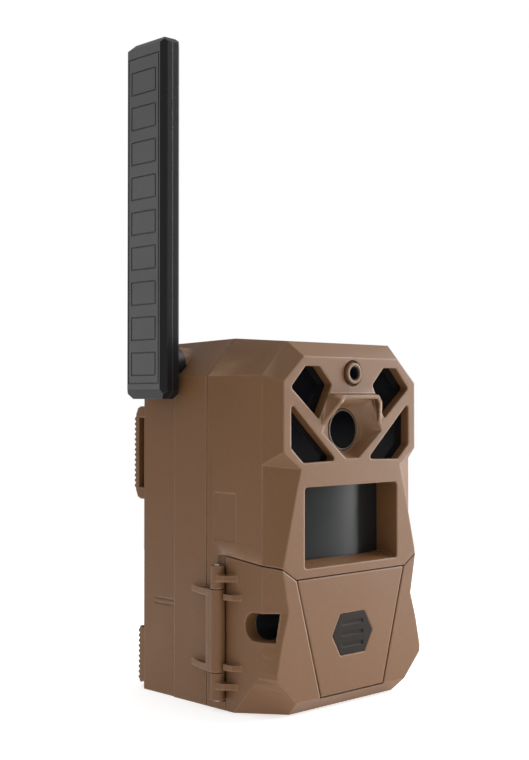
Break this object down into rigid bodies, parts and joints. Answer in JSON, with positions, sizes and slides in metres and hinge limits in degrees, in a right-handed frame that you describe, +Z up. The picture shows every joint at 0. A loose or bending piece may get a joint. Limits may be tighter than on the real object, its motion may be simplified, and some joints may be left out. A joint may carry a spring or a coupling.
{
  "type": "trail camera",
  "caption": "Wildlife trail camera: moulded case with angular sensor head, motion window, side-hinged door with latch, and a folding paddle antenna.",
  "frame": {"origin": "centre of the flat underside of the case", "axes": "+Z up along the case and the raised antenna, -Y the way the lens looks, +X to the right seen from the front"},
  "size_m": [0.1099, 0.0989, 0.2827],
  "materials": {
    "brown_shell": "fine satin grain",
    "dark_inlay": "matte",
    "ir_acrylic": "polished",
    "lens_glass": "polished",
    "lens_ring": "satin",
    "black_plastic": "satin",
    "pir_film": "satin, ribbed",
    "antenna_plastic": "fine satin grain",
    "seal_rubber": "matte",
    "steel": "satin",
    "brass": "knurled",
    "circuit_board": "solder mask",
    "light_pipe": "clear",
    "key_grey": "satin",
    "card_black": "satin",
    "cell_metal": "printed foil, plain"
  },
  "bodies": {
    "case": {"antenna_oring": "seal_rubber", "battery_cells": "cell_metal", "battery_contacts": "steel", "battery_tray": "black_plastic", "board_screws": "steel", "case_screws": "steel", "case_seal": "seal_rubber", "control_board": "circuit_board", "control_panel": "black_plastic", "dc_jack": "black_plastic", "door_seal": "seal_rubber", "front_case": "brown_shell", "hinge_pin": "steel", "image_sensor": "circuit_board", "ir_led_board": "circuit_board", "ir_leds": "black_plastic", "ir_windows": "ir_acrylic", "latch_pin": "steel", "lens_barrel": "black_plastic", "lens_bezel": "lens_ring", "lens_window": "lens_glass", "light_sensor": "black_plastic", "light_sensor_bezel": "brown_shell", "main_board": "circuit_board", "modem_module": "steel", "pir_lens": "pir_film", "pir_sensor": "steel", "rear_case": "brown_shell", "sd_socket": "steel", "status_leds": "light_pipe", "tray_pull": "dark_inlay", "tree_grips": "brown_shell", "tripod_insert": "brass"},
    "door": {"door": "brown_shell", "door_panel": "brown_shell", "door_badge": "dark_inlay", "lock_liner": "black_plastic"},
    "latch": {"latch_lever": "brown_shell"},
    "antenna": {"antenna_shell": "antenna_plastic", "antenna_cover": "antenna_plastic", "antenna_element": "circuit_board", "antenna_hub": "black_plastic", "antenna_nut": "steel"},
    "power_switch": {"power_switch": "key_grey"},
    "mode_button": {"mode_button": "key_grey"},
    "sd_card": {"sd_card": "card_black"},
    "dc_cover": {"dc_cover": "seal_rubber"}
  },
  "joints": [
    {"name": "door_hinge", "type": "hinge", "parent": "case", "child": "door", "pos_m": [-0.048, -0.01115, 0.03], "axis": [0, 0, -1], "range_deg": [0, 115]},
    {"name": "latch_hinge", "type": "hinge", "parent": "case", "child": "latch", "pos_m": [0.0491, -0.00625, 0.033], "axis": [0, 0, 1], "range_deg": [0, 100]},
    {"name": "antenna_fold", "type": "hinge", "parent": "case", "child": "antenna", "pos_m": [-0.044, 0.02565, 0.1433], "axis": [-1, 0, 0], "range_deg": [-90, 180]},
    {"name": "power_slide", "type": "slide", "parent": "case", "child": "power_switch", "axis": [0, 0, 1], "range_m": [0, 0.005]},
    {"name": "mode_press", "type": "slide", "parent": "case", "child": "mode_button", "axis": [0, 1, 0], "range_m": [0, 0.0008], "stiffness_N_per_m": 900},
    {"name": "sd_eject", "type": "slide", "parent": "case", "child": "sd_card", "axis": [0, -1, 0], "range_m": [0, 0.0045]},
    {"name": "dc_cover_hinge", "type": "hinge", "parent": "case", "child": "dc_cover", "pos_m": [0.032, 0.01985, 0.00065], "axis": [1, 0, 0], "range_deg": [0, 110]}
  ]
}
